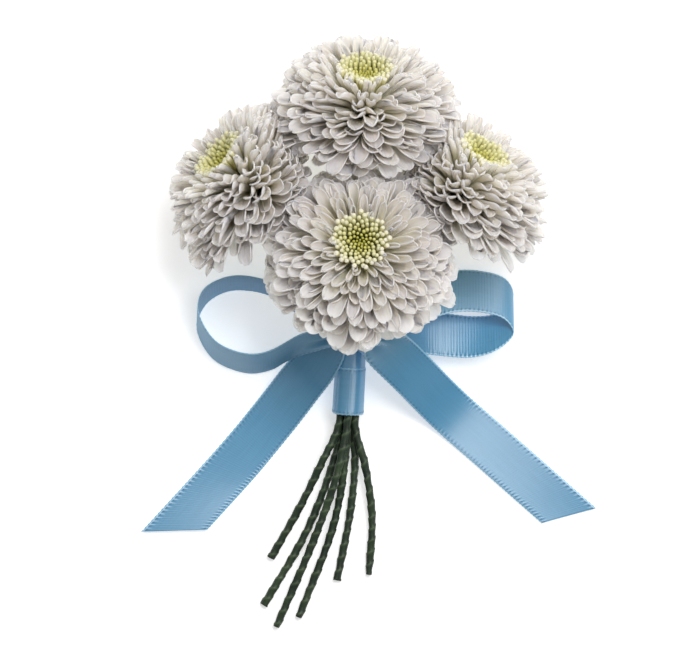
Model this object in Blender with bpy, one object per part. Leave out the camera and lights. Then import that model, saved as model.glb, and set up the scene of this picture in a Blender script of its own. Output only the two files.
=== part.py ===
"""A four-bloom chrysanthemum boutonniere, lying on its back with its blooms up.

Four white cushion chrysanthemums stand on wires taped in floral tape. A satin
ribbon is wound round the bundle of wires as a handle, and more of the same
ribbon is tied over it in a bow with two loops and two tails.

Metres, +Z up. +Y runs from the wire ends to the blooms, +X is the right-hand
side seen from above, and the origin is on the surface that the boutonniere
lies on, under the middle of its bounding box.
"""

import math

import bmesh
import bpy
from mathutils import Matrix, Vector

MM = 0.001

# Driving dimensions. Every other size follows from these.
RIBBON_WIDTH = 11.0 * MM
RIBBON_THICKNESS = 0.5 * MM
BLOOM_RADIUS = 22.5 * MM
WIRE_DIAMETER = 1.7 * MM
GAP = 0.3 * MM

# The blooms: where the petals of each spread from, and which way each faces.
# tilt is measured from straight up, heading anticlockwise from +X.
BLOOMS = {
    "front": {"centre": (-1.8, 17.6, 31.5), "tilt": 16, "heading": 92, "turn": 0},
    "top": {"centre": (-0.8, 51.4, 20.0), "tilt": 55, "heading": 88, "turn": 11},
    "left": {"centre": (-27.4, 33.8, 20.0), "tilt": 64, "heading": 138, "turn": 19},
    "right": {"centre": (21.6, 33.1, 20.0), "tilt": 64, "heading": 58, "turn": 5},
}

# Where two blooms press together: the share of the way from the first centre to
# the second where they meet, and how far the meeting plane leans: above nought the
# first bloom lies over the second, below nought the second lies over the first.
MEETINGS = {
    ("front", "left"): {"share": 0.56, "lean": 6 * MM},
    ("front", "right"): {"share": 0.57, "lean": 6 * MM},
    ("front", "top"): {"share": 0.54, "lean": -24 * MM},
    ("top", "left"): {"share": 0.57, "lean": 11 * MM},
    ("top", "right"): {"share": 0.58, "lean": 11 * MM},
}

# The four whorls of petals of a bloom, from its back to its button. Each petal
# follows a curve from base through bend to tip, as (radius, height) in shares
# of the bloom's radius.
WHORLS = {
    "back_petals": {"petals": 13, "notch": 0.55, "base": (0.25, -0.17), "bend": (0.68, 0.00), "tip": (0.99, -0.24)},
    "outer_petals": {"petals": 12, "notch": 0.55, "base": (0.25, -0.06), "bend": (0.62, 0.20), "tip": (1.00, 0.10)},
    "middle_petals": {"petals": 11, "notch": 0.50, "base": (0.24, 0.05), "bend": (0.52, 0.36), "tip": (0.80, 0.38)},
    "inner_petals": {"petals": 9, "notch": 0.45, "base": (0.22, 0.16), "bend": (0.36, 0.44), "tip": (0.54, 0.54)},
}
PETAL_THICKNESS = 0.9 * MM
PETAL_ROWS = 3
# Columns of one petal: (place along its share of the ring, whether it is the notch).
PETAL_COLUMNS = ((0.0, True), (0.30, False), (0.70, False))
# Each whorl is turned this far on from the one behind it, in radians.
WHORL_TURN = 0.4
# Petals that would cross a meeting plane are shortened in these steps.
TRIM_STEP = 0.04
TRIM_STEPS = 20

# The button of young florets and the green base, as (radius, height) profiles
# in shares of the bloom's radius, turned round the bloom's axis.
BUTTON_PROFILE = ((0.0, 0.20), (0.15, 0.20), (0.21, 0.34), (0.20, 0.44), (0.11, 0.49), (0.0, 0.46))
BASE_PROFILE = (
    (0.0, -0.46), (0.085, -0.46), (0.095, -0.36), (0.26, -0.27), (0.40, -0.23), (0.38, -0.20),
    (0.19, -0.21), (0.19, 0.10), (0.14, 0.18), (0.0, 0.18),
)
BUTTON_SIDES = 14
BASE_SIDES = 12
STALK_END = 0.46

# The wound handle: its two ends, and the ring of wires inside it.
HANDLE_LOW = Vector((-4.8, -19.2, 4.4)) * MM
HANDLE_HIGH = Vector((-3.5, 4.6, 7.4)) * MM
HANDLE_SIDES = 20
RING_RADIUS = WIRE_DIAMETER + GAP
SLEEVE_THICKNESS = 0.45 * MM
TIE_REACH = (0.70, 0.96)

# The wires: the angle of each in the handle (None is the middle one), its way
# below the handle, and what it carries. Points are millimetres.
WIRES = {
    "wire_1": {"angle": 162, "free": ((-10.6, -30.2, 4.6), (-15.9, -41.0, 2.7), (-22.7, -53.0, 1.0)), "carries": "left"},
    "wire_2": {"angle": 234, "free": ((-8.9, -33.0, 2.2), (-15.0, -48.0, 1.5), (-24.4, -64.0, 0.95)), "carries": "bow"},
    "wire_3": {"angle": 90, "free": ((-7.6, -34.5, 5.6), (-13.2, -50.0, 3.3), (-21.4, -69.0, 1.0)), "carries": "front"},
    "wire_4": {"angle": None, "free": ((-5.6, -32.0, 3.6), (-8.6, -47.0, 2.2), (-16.2, -66.8, 0.95)), "carries": "top"},
    "wire_5": {"angle": 306, "free": ((-3.1, -30.5, 2.0), (-4.3, -43.0, 1.4), (-7.3, -58.2, 0.95)), "carries": "bow"},
    "wire_6": {"angle": 18, "free": ((-0.6, -32.0, 3.9), (0.9, -44.0, 2.2), (0.1, -56.8, 0.95)), "carries": "right"},
}
WIRE_POINTS = 28
# Where a wire's route is pinned inside the handle, and above it, as shares of its length.
PINS_INSIDE = (-0.12, 0.3, 0.7, 1.02)
PIN_ABOVE = 1.22
SPREAD_ABOVE = 1.2
# The straight run of each wire below its bloom.
STALK_RISE = {"front": 6.5 * MM, "top": 11.0 * MM, "left": 10.0 * MM, "right": 10.0 * MM}
SAG = Vector((0, 0, -0.6)) * MM

# The bow: millimetre points down the middle of each ribbon, with the direction
# that its width lies in at each.
KNOT_CENTRE = Vector((-3.7, -0.4, 14.0)) * MM
KNOT_SIZE = Vector((8.4, 8.6, 3.4)) * MM
KNOT_ROUNDING = 1.1 * MM
BOW = {
    "bow_loop_left": [
        ((-8.3, -1.6, 14.0), (0.0, 0.92, 0.38)),
        ((-16.0, -3.4, 10.8), (0.1, 0.52, 0.85)),
        ((-23.0, -7.0, 8.0), (0.0, 0.42, 0.91)),
        ((-29.0, -7.5, 6.2), (0.0, 0.42, 0.91)),
        ((-35.8, -4.5, 5.4), (0.05, 0.40, 0.91)),
        ((-39.6, 2.0, 5.4), (0.05, 0.38, 0.92)),
        ((-38.4, 7.4, 5.4), (0.0, 0.34, 0.94)),
        ((-34.1, 10.4, 5.5), (0.0, 0.30, 0.95)),
        ((-28.8, 11.1, 5.8), (0.0, 0.30, 0.95)),
        ((-21.8, 9.4, 7.8), (0.0, 0.32, 0.94)),
        ((-13.6, 4.8, 10.8), (0.1, 0.55, 0.83)),
        ((-8.3, 1.4, 14.0), (0.0, 0.92, 0.38)),
    ],
    "bow_loop_right": [
        ((0.9, -1.6, 14.0), (0.0, -0.92, 0.38)),
        ((7.6, -0.7, 10.2), (0.0, -0.62, 0.78)),
        ((14.3, -1.4, 6.8), (0.0, -0.67, 0.74)),
        ((23.7, -1.9, 5.2), (0.0, -0.70, 0.71)),
        ((30.2, 0.0, 4.8), (0.0, -0.70, 0.71)),
        ((33.6, 4.1, 4.9), (0.0, -0.70, 0.71)),
        ((32.4, 7.8, 5.2), (0.0, -0.70, 0.71)),
        ((28.3, 9.7, 5.4), (0.0, -0.70, 0.71)),
        ((21.3, 10.2, 5.9), (0.0, -0.72, 0.69)),
        ((14.3, 8.3, 7.2), (0.0, -0.76, 0.65)),
        ((7.3, 4.8, 9.6), (0.0, -0.84, 0.54)),
        ((0.9, 1.8, 14.0), (0.0, -0.92, 0.38)),
    ],
    "bow_tail_left": [
        ((-9.8, -3.0, 8.7), (0.88, -0.36, 0.30)),
        ((-12.0, -7.4, 6.6), (0.80, -0.53, 0.28)),
        ((-15.8, -12.2, 3.4), (0.76, -0.64, 0.12)),
        ((-22.0, -20.2, 1.1), (0.755, -0.655, 0.0)),
        ((-31.0, -31.0, 0.5), (0.755, -0.655, 0.0)),
        ((-45.2, -46.6, 0.35), (0.755, -0.655, 0.0)),
    ],
    "bow_tail_right": [
        ((3.6, -3.6, 8.8), (0.84, 0.53, -0.10)),
        ((8.9, -8.6, 5.0), (0.67, 0.74, 0.0)),
        ((18.5, -18.2, 1.4), (0.665, 0.747, 0.0)),
        ((29.0, -27.4, 0.5), (0.665, 0.747, 0.0)),
        ((46.8, -43.1, 0.35), (0.665, 0.747, 0.0)),
    ],
}
BOW_ROWS = {"bow_loop_left": 30, "bow_loop_right": 30, "bow_tail_left": 14, "bow_tail_right": 14}
# How far each tail's end slants: the offset of its two corners along the tail. The
# last rows share it out, so that they stay in order.
TAIL_SLANT = {"bow_tail_left": (5.2 * MM, -5.2 * MM), "bow_tail_right": (-3.6 * MM, 3.6 * MM)}
SLANT_ROWS = 4

LOOKS = {
    "petal": {"colour": (0.86, 0.84, 0.83, 1), "roughness": 0.55, "metallic": 0.0},
    "young_floret": {"colour": (0.62, 0.66, 0.26, 1), "roughness": 0.55, "metallic": 0.0},
    "green_base": {"colour": (0.20, 0.30, 0.10, 1), "roughness": 0.6, "metallic": 0.0},
    "floral_tape": {"colour": (0.05, 0.08, 0.045, 1), "roughness": 0.5, "metallic": 0.0},
    "satin_ribbon": {"colour": (0.20, 0.42, 0.62, 1), "roughness": 0.35, "metallic": 0.0},
}


def clear_scene():
    for obj in list(bpy.data.objects):
        bpy.data.objects.remove(obj, do_unlink=True)


def make_materials():
    made = {}
    for name, look in LOOKS.items():
        material = bpy.data.materials.new(name)
        material.use_nodes = True
        shader = material.node_tree.nodes["Principled BSDF"]
        shader.inputs["Base Color"].default_value = look["colour"]
        shader.inputs["Roughness"].default_value = look["roughness"]
        shader.inputs["Metallic"].default_value = look["metallic"]
        made[name] = material
    return made


def add_object(name, data, material, parent=None):
    """A named object from a mesh, a bmesh or a curve, in the scene."""
    if isinstance(data, bmesh.types.BMesh):
        mesh = bpy.data.meshes.new(name)
        data.to_mesh(mesh)
        data.free()
        data = mesh
    data.materials.append(material)
    obj = bpy.data.objects.new(name, data)
    obj.parent = parent
    bpy.context.scene.collection.objects.link(obj)
    if obj.type == "MESH":
        obj.data.shade_smooth()
    return obj


def thicken(obj, thickness):
    """Turns a sheet into a closed solid, half its thickness on each side."""
    modifier = obj.modifiers.new("Solidify", "SOLIDIFY")
    modifier.thickness = thickness
    modifier.offset = 0.0


def curve_point(points, share):
    """A point of the quadratic curve through base, bend and tip."""
    base, bend, tip = (Vector(point) for point in points)
    return base.lerp(bend, share).lerp(bend.lerp(tip, share), share)


def smooth_route(points, count):
    """count points along one smooth curve through points, each a Vector of any size."""
    spans = len(points) - 1
    ends = [points[0] * 2 - points[1], *points, points[-1] * 2 - points[-2]]
    found = []
    for i in range(count):
        place = i / (count - 1) * spans
        span = min(int(place), spans - 1)
        t = place - span
        before, start, end, after = ends[span : span + 4]
        leave, arrive = (end - before) / 2, (after - start) / 2
        found.append(
            start * (2 * t**3 - 3 * t**2 + 1)
            + leave * (t**3 - 2 * t**2 + t)
            + end * (3 * t**2 - 2 * t**3)
            + arrive * (t**3 - t**2)
        )
    return found


# Blooms


def bloom_matrix(bloom):
    """Takes a bloom's own frame, with +Z out through its button, to the world."""
    place = Matrix.Translation(Vector(bloom["centre"]) * MM)
    heading = Matrix.Rotation(math.radians(bloom["heading"]), 4, "Z")
    tilt = Matrix.Rotation(math.radians(bloom["tilt"]), 4, "Y")
    turn = Matrix.Rotation(math.radians(bloom["turn"]), 4, "Z")
    return place @ heading @ tilt @ turn


def walls_of(name):
    """The planes that a bloom's petals stop at, as (point, outward normal)."""
    walls = [(Vector((0, 0, 0)), Vector((0, 0, -1)))]
    for (first, second), meeting in MEETINGS.items():
        if name not in (first, second):
            continue
        start = Vector(BLOOMS[first]["centre"]) * MM
        end = Vector(BLOOMS[second]["centre"]) * MM
        normal = (end - start - Vector((0, 0, meeting["lean"]))).normalized()
        point = start.lerp(end, meeting["share"])
        walls.append((point, normal if name == first else -normal))
    return walls


def room_for(column, matrix, walls):
    """The share of its length that a column of petal points may keep inside the walls."""
    margin = PETAL_THICKNESS / 2 + GAP
    for step in range(TRIM_STEPS):
        keep = 1 - TRIM_STEP * step
        placed = [matrix @ shortened(point, i, len(column), keep) for i, point in enumerate(column)]
        if all((point - at).dot(normal) <= -margin for point in placed for at, normal in walls):
            break
    return keep


def shortened(point, row, rows, keep):
    """A petal point drawn in towards the bloom's centre, its base left where it is."""
    share = row / (rows - 1)
    return point * (1 - (1 - keep) * share)


def petal_whorl(whorl, matrix, walls, turn):
    """A ring of petals joined at their bases, as a sheet: a grid bent round the axis."""
    columns = whorl["petals"] * len(PETAL_COLUMNS)
    bm = bmesh.new()
    bmesh.ops.create_grid(bm, x_segments=columns, y_segments=PETAL_ROWS, size=0.5)
    pitch = 2 * math.pi / whorl["petals"]
    by_column = {}
    for vert in bm.verts:
        column = round((vert.co.x + 0.5) * columns) % columns
        row = round((vert.co.y + 0.5) * PETAL_ROWS)
        by_column.setdefault(column, []).append((row, vert))
    for column, verts in by_column.items():
        petal, part = divmod(column, len(PETAL_COLUMNS))
        place, is_notch = PETAL_COLUMNS[part]
        angle = (petal + place) * pitch + turn
        reach = whorl["notch"] if is_notch else 1.0
        profile = [
            curve_point((whorl["base"], whorl["bend"], whorl["tip"]), reach * row / PETAL_ROWS) * BLOOM_RADIUS
            for row in range(PETAL_ROWS + 1)
        ]
        points = [Vector((r * math.cos(angle), r * math.sin(angle), z)) for r, z in profile]
        keep = room_for(points, matrix, walls)
        for row, vert in verts:
            vert.co = shortened(points[row], row, len(points), keep)
    bmesh.ops.remove_doubles(bm, verts=bm.verts, dist=1e-6)
    bmesh.ops.recalc_face_normals(bm, faces=bm.faces)
    return bm


def turned(profile, sides):
    """A closed solid: a (radius, height) profile turned round the Z axis."""
    bm = bmesh.new()
    points = [bm.verts.new((r * BLOOM_RADIUS, 0, z * BLOOM_RADIUS)) for r, z in profile]
    edges = [bm.edges.new(pair) for pair in zip(points, points[1:])]
    bmesh.ops.spin(
        bm, geom=points + edges, cent=(0, 0, 0), axis=(0, 0, 1), angle=2 * math.pi,
        steps=sides, use_merge=True,
    )
    bmesh.ops.remove_doubles(bm, verts=bm.verts, dist=1e-6)
    bmesh.ops.recalc_face_normals(bm, faces=bm.faces)
    return bm


def make_bloom(name, materials):
    bloom = BLOOMS[name]
    matrix = bloom_matrix(bloom)
    holder = bpy.data.objects.new(f"{name}_bloom", None)
    holder.matrix_world = matrix
    bpy.context.scene.collection.objects.link(holder)
    add_object(f"{name}_bloom_green_base", turned(BASE_PROFILE, BASE_SIDES), materials["green_base"], holder)
    add_object(f"{name}_bloom_button", turned(BUTTON_PROFILE, BUTTON_SIDES), materials["young_floret"], holder)
    for i, (part, whorl) in enumerate(WHORLS.items()):
        sheet = petal_whorl(whorl, matrix, walls_of(name), WHORL_TURN * i)
        obj = add_object(f"{name}_bloom_{part}", sheet, materials["petal"], holder)
        thicken(obj, PETAL_THICKNESS)
        obj.data.set_sharp_from_angle(angle=math.radians(50))


# Wires and handle


def handle_frame():
    """The handle's direction, and two directions across it: to the right and up."""
    along = (HANDLE_HIGH - HANDLE_LOW).normalized()
    right = along.cross(Vector((0, 0, 1))).normalized()
    return along, right, right.cross(along)


def place_in_handle(angle, share, spread=1.0):
    """The middle of a wire in the handle, share of the way from its lower end."""
    middle = HANDLE_LOW.lerp(HANDLE_HIGH, share)
    if angle is None:
        return middle
    _, right, up = handle_frame()
    a = math.radians(angle)
    return middle + (right * math.cos(a) + up * math.sin(a)) * RING_RADIUS * spread


def stalk_end(name):
    """Where a bloom's stalk ends, and the direction into the bloom there."""
    matrix = bloom_matrix(BLOOMS[name])
    axis = (matrix.to_3x3() @ Vector((0, 0, 1))).normalized()
    return matrix @ Vector((0, 0, -STALK_END * BLOOM_RADIUS)), axis


def upper_way(wire):
    """The points of a wire from the handle's upper end to what it carries."""
    clear = place_in_handle(wire["angle"], PIN_ABOVE, SPREAD_ABOVE)
    if wire["carries"] == "bow":
        return [clear]
    end, axis = stalk_end(wire["carries"])
    end = end - axis * GAP
    before = end - axis * STALK_RISE[wire["carries"]]
    return [clear, clear.lerp(before, 0.5) + SAG, before, end]


def make_wire(name, material):
    wire = WIRES[name]
    free = [Vector(point) * MM for point in reversed(wire["free"])]
    inside = [place_in_handle(wire["angle"], share) for share in PINS_INSIDE]
    route = smooth_route([*free, *inside, *upper_way(wire)], WIRE_POINTS)
    curve = bpy.data.curves.new(name, "CURVE")
    curve.dimensions = "3D"
    curve.bevel_depth = WIRE_DIAMETER / 2
    curve.bevel_resolution = 2
    curve.use_fill_caps = True
    spline = curve.splines.new("POLY")
    spline.points.add(len(route) - 1)
    for point, place in zip(spline.points, route):
        point.co = (*place, 1)
    return add_object(name, curve, material)


def make_sleeve(name, reach, inner, material):
    """A hollow sleeve of ribbon; reach is its two ends in shares of the handle."""
    along, _, _ = handle_frame()
    start, end = (HANDLE_LOW.lerp(HANDLE_HIGH, share) for share in reach)
    bm = bmesh.new()
    bmesh.ops.create_circle(bm, radius=inner + SLEEVE_THICKNESS / 2, segments=HANDLE_SIDES)
    grown = bmesh.ops.extrude_edge_only(bm, edges=bm.edges)
    raised = [item for item in grown["geom"] if isinstance(item, bmesh.types.BMVert)]
    bmesh.ops.translate(bm, verts=raised, vec=(0, 0, (end - start).length))
    bmesh.ops.recalc_face_normals(bm, faces=bm.faces)
    obj = add_object(name, bm, material)
    obj.location = start
    obj.rotation_mode = "QUATERNION"
    obj.rotation_quaternion = along.to_track_quat("Z", "Y")
    thicken(obj, SLEEVE_THICKNESS)
    return obj


# Bow


def ribbon_sheet(points, rows, slant=(0.0, 0.0)):
    """A flat ribbon bent along points, each a place and the direction of its width."""
    places = smooth_route([Vector(place) * MM for place, _ in points], rows + 1)
    widths = smooth_route([Vector(width) for _, width in points], rows + 1)
    bm = bmesh.new()
    bmesh.ops.create_grid(bm, x_segments=1, y_segments=rows, size=0.5)
    for vert in bm.verts:
        row = round((vert.co.y + 0.5) * rows)
        side = 1 if vert.co.x > 0 else -1
        vert.co = places[row] + widths[row].normalized() * side * RIBBON_WIDTH / 2
        ahead = (places[-1] - places[-2]).normalized()
        slanting = max(0.0, 1 - (rows - row) / SLANT_ROWS)
        vert.co += ahead * slant[0 if side < 0 else 1] * slanting
    return bm


def make_bow(materials):
    satin = materials["satin_ribbon"]
    for name, points in BOW.items():
        sheet = ribbon_sheet(points, BOW_ROWS[name], TAIL_SLANT.get(name, (0.0, 0.0)))
        thicken(add_object(name, sheet, satin), RIBBON_THICKNESS)
    bm = bmesh.new()
    bmesh.ops.create_cube(bm, size=1.0, matrix=Matrix.Diagonal((*KNOT_SIZE, 1)))
    bmesh.ops.bevel(
        bm, geom=bm.edges[:], offset=KNOT_ROUNDING, segments=2, profile=0.5, affect="EDGES", material=-1,
    )
    knot = add_object("bow_knot", bm, satin)
    knot.location = KNOT_CENTRE


def stand_on_origin():
    """Moves everything so that its bounding box's underside is centred on the origin."""
    bpy.context.view_layer.update()
    depsgraph = bpy.context.evaluated_depsgraph_get()
    solids = [obj for obj in bpy.data.objects if obj.type in {"MESH", "CURVE"}]
    corners = []
    for obj in solids:
        mesh = obj.evaluated_get(depsgraph).to_mesh()
        corners += [obj.matrix_world @ vert.co for vert in mesh.vertices]
        obj.evaluated_get(depsgraph).to_mesh_clear()
    lows = [min(corner[i] for corner in corners) for i in range(3)]
    highs = [max(corner[i] for corner in corners) for i in range(3)]
    loose = [obj for obj in bpy.data.objects if obj.parent is None]
    root = bpy.data.objects.new("boutonniere", None)
    for obj in loose:
        obj.parent = root
    bpy.context.scene.collection.objects.link(root)
    root.location = (-(lows[0] + highs[0]) / 2, -(lows[1] + highs[1]) / 2, -lows[2])


def main():
    clear_scene()
    materials = make_materials()
    for name in BLOOMS:
        make_bloom(name, materials)
    for name in WIRES:
        make_wire(name, materials["floral_tape"])
    wrap_inner = RING_RADIUS + WIRE_DIAMETER / 2 + GAP
    make_sleeve("handle_wrap", (0.0, 1.0), wrap_inner, materials["satin_ribbon"])
    tie_inner = wrap_inner + SLEEVE_THICKNESS + GAP
    make_sleeve("bow_tie_band", TIE_REACH, tie_inner, materials["satin_ribbon"])
    make_bow(materials)
    stand_on_origin()


main()
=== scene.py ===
import math
import random

import bmesh
import bpy
import numpy as np
from mathutils import Matrix, Vector


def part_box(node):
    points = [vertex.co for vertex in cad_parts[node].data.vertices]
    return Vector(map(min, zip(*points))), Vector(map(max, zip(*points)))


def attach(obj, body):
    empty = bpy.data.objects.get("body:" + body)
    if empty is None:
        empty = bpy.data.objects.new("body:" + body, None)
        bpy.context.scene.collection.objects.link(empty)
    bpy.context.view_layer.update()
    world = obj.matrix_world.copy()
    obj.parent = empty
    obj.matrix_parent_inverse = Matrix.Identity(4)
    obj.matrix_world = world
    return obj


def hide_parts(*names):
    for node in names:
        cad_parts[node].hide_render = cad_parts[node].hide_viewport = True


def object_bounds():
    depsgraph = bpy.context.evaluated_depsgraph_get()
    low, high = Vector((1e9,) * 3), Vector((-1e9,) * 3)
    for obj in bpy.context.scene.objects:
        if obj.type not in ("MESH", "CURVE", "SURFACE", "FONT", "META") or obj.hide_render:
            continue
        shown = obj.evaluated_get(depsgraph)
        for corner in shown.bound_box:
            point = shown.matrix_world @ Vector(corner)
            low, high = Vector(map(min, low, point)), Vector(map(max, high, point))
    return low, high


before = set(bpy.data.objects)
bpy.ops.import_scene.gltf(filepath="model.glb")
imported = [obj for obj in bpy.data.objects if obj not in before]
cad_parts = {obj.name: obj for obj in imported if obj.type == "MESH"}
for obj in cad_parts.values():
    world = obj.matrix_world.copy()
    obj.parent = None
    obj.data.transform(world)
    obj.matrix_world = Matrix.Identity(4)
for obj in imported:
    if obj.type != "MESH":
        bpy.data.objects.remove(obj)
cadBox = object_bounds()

mm = 0.001
goldenAngle = math.pi * (3 - math.sqrt(5))  # how a daisy-family flower sets its florets
blooms = ("front", "top", "left", "right")


# Small helpers

def toLinear(hexColour):
    parts = [int(hexColour[i:i + 2], 16) / 255 for i in (1, 3, 5)]
    return tuple(c / 12.92 if c <= 0.04045 else ((c + 0.055) / 1.055) ** 2.4 for c in parts) + (1.0,)


def fillInputs(tree, node, values={}, links={}):
    for key, value in values.items():
        node.inputs[key].default_value = value
    for key, source in links.items():
        tree.links.new(source, node.inputs[key])


def addNode(tree, kind, settings={}, values={}, links={}):
    node = tree.nodes.new(kind)
    for key, value in settings.items():
        setattr(node, key, value)
    fillInputs(tree, node, values, links)
    return node


def fillRamp(node, stops):
    ramp = node.color_ramp
    while len(ramp.elements) < len(stops):
        ramp.elements.new(0.5)
    for element, (place, hexColour) in zip(ramp.elements, stops):
        element.position = place
        element.color = toLinear(hexColour)


def newMaterial(name):
    material = bpy.data.materials.new(name)
    material.use_nodes = True
    tree = material.node_tree
    return material, tree, tree.nodes["Principled BSDF"]


def blend(a, b, share):
    return a + (b - a) * share


def easeIn(value, low, high):
    t = min(1.0, max(0.0, (value - low) / (high - low)))
    return t * t * (3 - 2 * t)


def easeArray(values, low, high):
    t = np.clip((values - low) / (high - low), 0, 1)
    return t * t * (3 - 2 * t)


def throughPoints(points):
    # one smooth curve through points, with the same number of steps between each pair
    steps = 24
    pts = np.array([tuple(p) for p in points])
    ends = np.vstack([2 * pts[0] - pts[1], pts, 2 * pts[-1] - pts[-2]])
    found = []
    for i in range(len(pts) - 1):
        before, start, end, after = ends[i:i + 4]
        leave, arrive = (end - before) / 2, (after - start) / 2
        for t in np.linspace(0, 1, steps, endpoint=False):
            found.append(
                start * (2 * t**3 - 3 * t**2 + 1) + leave * (t**3 - 2 * t**2 + t)
                + end * (3 * t**2 - 2 * t**3) + arrive * (t**3 - t**2)
            )
    found.append(pts[-1])
    return np.array(found)


def distancesAlong(line):
    return np.concatenate([[0], np.cumsum(np.linalg.norm(np.diff(line, axis=0), axis=1))])


def readAt(line, run, places):
    # the points of a line at these distances along it
    return np.stack([np.interp(places, run, line[:, axis]) for axis in range(3)], axis=1)


def gridDirections(grid):
    # at each point of a grid, the unit directions across it and out of it
    along, across = np.gradient(grid, axis=0), np.gradient(grid, axis=1)
    normals = np.cross(across, along)
    return [way / np.linalg.norm(way, axis=2)[:, :, None] for way in (across, normals)]


def finishPiece(name, bm, material, nodes, thickness=0.0):
    mesh = bpy.data.meshes.new(name)
    bm.to_mesh(mesh)
    bm.free()
    mesh.materials.append(material)
    mesh.shade_smooth()
    piece = bpy.data.objects.new(name, mesh)
    bpy.context.scene.collection.objects.link(piece)
    if thickness:
        wall = piece.modifiers.new("Solidify", "SOLIDIFY")
        wall.thickness = thickness
        wall.offset = 0.0
    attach(piece, "root")
    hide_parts(*nodes)
    return piece


# Reading places from the frame

def nodeMesh(node):
    bm = bmesh.new()
    bm.from_mesh(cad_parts[node].data)
    bmesh.ops.remove_doubles(bm, verts=bm.verts, dist=1e-6)
    return bm


def nodePoints(node):
    bm = nodeMesh(node)
    points = np.array([tuple(v.co) for v in bm.verts])
    bm.free()
    return points


def crossSections(node, isCap):
    # the rings of points of a swept solid, in order from the end with the lowest y
    bm = nodeMesh(node)
    caps = [face for face in bm.faces if isCap([edge.calc_length() for edge in face.edges])]
    ring = set(min(caps, key=lambda face: face.calc_center_median().y).verts)
    for _ in caps:
        for face in caps:
            if ring & set(face.verts):
                ring |= set(face.verts)
    rings, seen = [], set()
    while ring:
        rings.append([v.co.copy() for v in ring])
        seen |= ring
        ring = {edge.other_vert(v) for v in ring for edge in v.link_edges} - seen
    bm.free()
    return rings


ribbonSolid = {
    "thinner": 0.7 * mm,  # the solids are thinner than this
    "wider": 9 * mm,  # and wider than this
}


def ribbonRails(node):
    # the two long edges of a ribbon solid
    thinner, wider = ribbonSolid["thinner"], ribbonSolid["wider"]
    rings = crossSections(node, lambda sides: min(sides) < thinner and max(sides) > wider)
    # which edge comes first follows from the way it sets out, so that its normals point into the loop
    away = sum(rings[len(rings) // 4], Vector()) - sum(rings[0], Vector())
    across = away.cross(Vector((0, 1, 0)))
    railA, railB = [], []
    for ring in rings:
        first = ring[0]
        near = sorted(ring, key=lambda p: (p - first).length)
        a, b = (near[0] + near[1]) / 2, (near[2] + near[3]) / 2
        if (b - a).dot(across) < 0:
            a, b = b, a
        across = b - a
        railA.append(a)
        railB.append(b)
    return railA, railB


def tailRails(node):
    # the two long edges of a tail, from the knot outwards
    bm = nodeMesh(node)
    knot = Vector(nodePoints("bow_knot").mean(axis=0))
    along = max((v.co - knot for v in bm.verts), key=lambda away: away.length)
    along = Vector((along.x, along.y, 0)).normalized()
    across = along.cross(Vector((0, 0, 1)))
    rails = []
    for side in (1, -1):
        verts = {v for face in bm.faces for v in face.verts
                 if min(edge.calc_length() for edge in face.edges) < ribbonSolid["thinner"]
                 and abs(face.normal.dot(along)) < 0.5 and face.normal.dot(across) * side > 0.4}
        order = sorted((v.co.copy() for v in verts), key=lambda point: point.dot(along))
        rails.append([(a + b) / 2 for a, b in zip(order[::2], order[1::2])])
    bm.free()
    return rails


# Blooms

bloomShape = {
    "florets": 325,
    "buds": 130,
    "centreHeight": 0.46,  # where the petals are measured from, above the foot of the green base
    # places from the innermost petal to the outermost, then where its tip is (radius, height) in bloom radii
    "places": (0.0, 0.2, 0.4, 0.6, 0.8, 1.0),
    "tipRadius": (0.31, 0.47, 0.65, 0.82, 0.96, 1.00),
    "tipHeight": (0.55, 0.56, 0.47, 0.30, 0.04, -0.28),
    "baseRadius": (0.14, 0.15, 0.16, 0.16, 0.17, 0.17),
    "baseHeight": (0.14, 0.08, 0.02, -0.05, -0.12, -0.19),
    # degrees from straight out of the bloom: how a petal leaves and how its tip points
    "leaves": (10, 22, 36, 54, 72, 90),
    "arrives": (8, 28, 46, 62, 82, 112),
    "width": (2.4, 3.2, 4.2, 4.9, 5.2, 5.0),  # millimetres, measured flat
    "wrapBase": (150, 130, 112, 96, 82, 70),  # degrees turned from the middle to each rolled edge
    "wrapTip": (138, 122, 106, 90, 74, 56),
    "rimCurl": (1.0, 1.0, 1.2, 1.5, 1.8, 2.2),  # 1 is an even roll, more keeps the curl to the rims
    "tipLift": (-0.02, -0.03, -0.02, 0.0, 0.03, 0.05),  # in widths: below nought the tip flares out
    "thickness": 0.22 * mm,
    "rows": 8,
    "columns": 6,
    "tipRows": (34, 61, 83),  # degrees round the end of the last three rows
    "turnJitter": 0.13,
    "lengthJitter": 0.14,
    "widthJitter": 0.12,
    "leaveJitter": 7,  # degrees
    "arriveJitter": 20,
    "bow": 0.38,  # how far each end keeps its direction, in lengths
    "tipShare": 0.40,  # how much of the end is rounded, in widths
    "rollJitter": 0.34,
    "sway": 1.3 * mm,
    "shortest": 0.5,  # share of its length that a hemmed-in petal keeps
    "give": 1.2 * mm,  # pressed petals settle one behind another over this depth
}
# the share of the florets in each named ring, from the innermost
petalRings = (("inner_petals", 0.0, 0.22), ("middle_petals", 0.22, 0.48), ("outer_petals", 0.48, 0.76),
              ("back_petals", 0.76, 1.01))
# where two blooms press together: share of the way between their middles, how far the second leans over
# the first, and how far each one's petals reach past the meeting
meetings = {
    ("front", "left"): (0.56, -6 * mm, 4.0 * mm, 4.5 * mm),
    ("front", "right"): (0.57, -6 * mm, 4.0 * mm, 4.5 * mm),
    ("front", "top"): (0.54, 24 * mm, 3.5 * mm, 3.0 * mm),
    ("top", "left"): (0.58, -11 * mm, 4.0 * mm, 3.5 * mm),
    ("top", "right"): (0.60, -11 * mm, 4.0 * mm, 3.5 * mm),
}
pressDepth = 2.5 * mm
tableGap = 0.25 * mm


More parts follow.
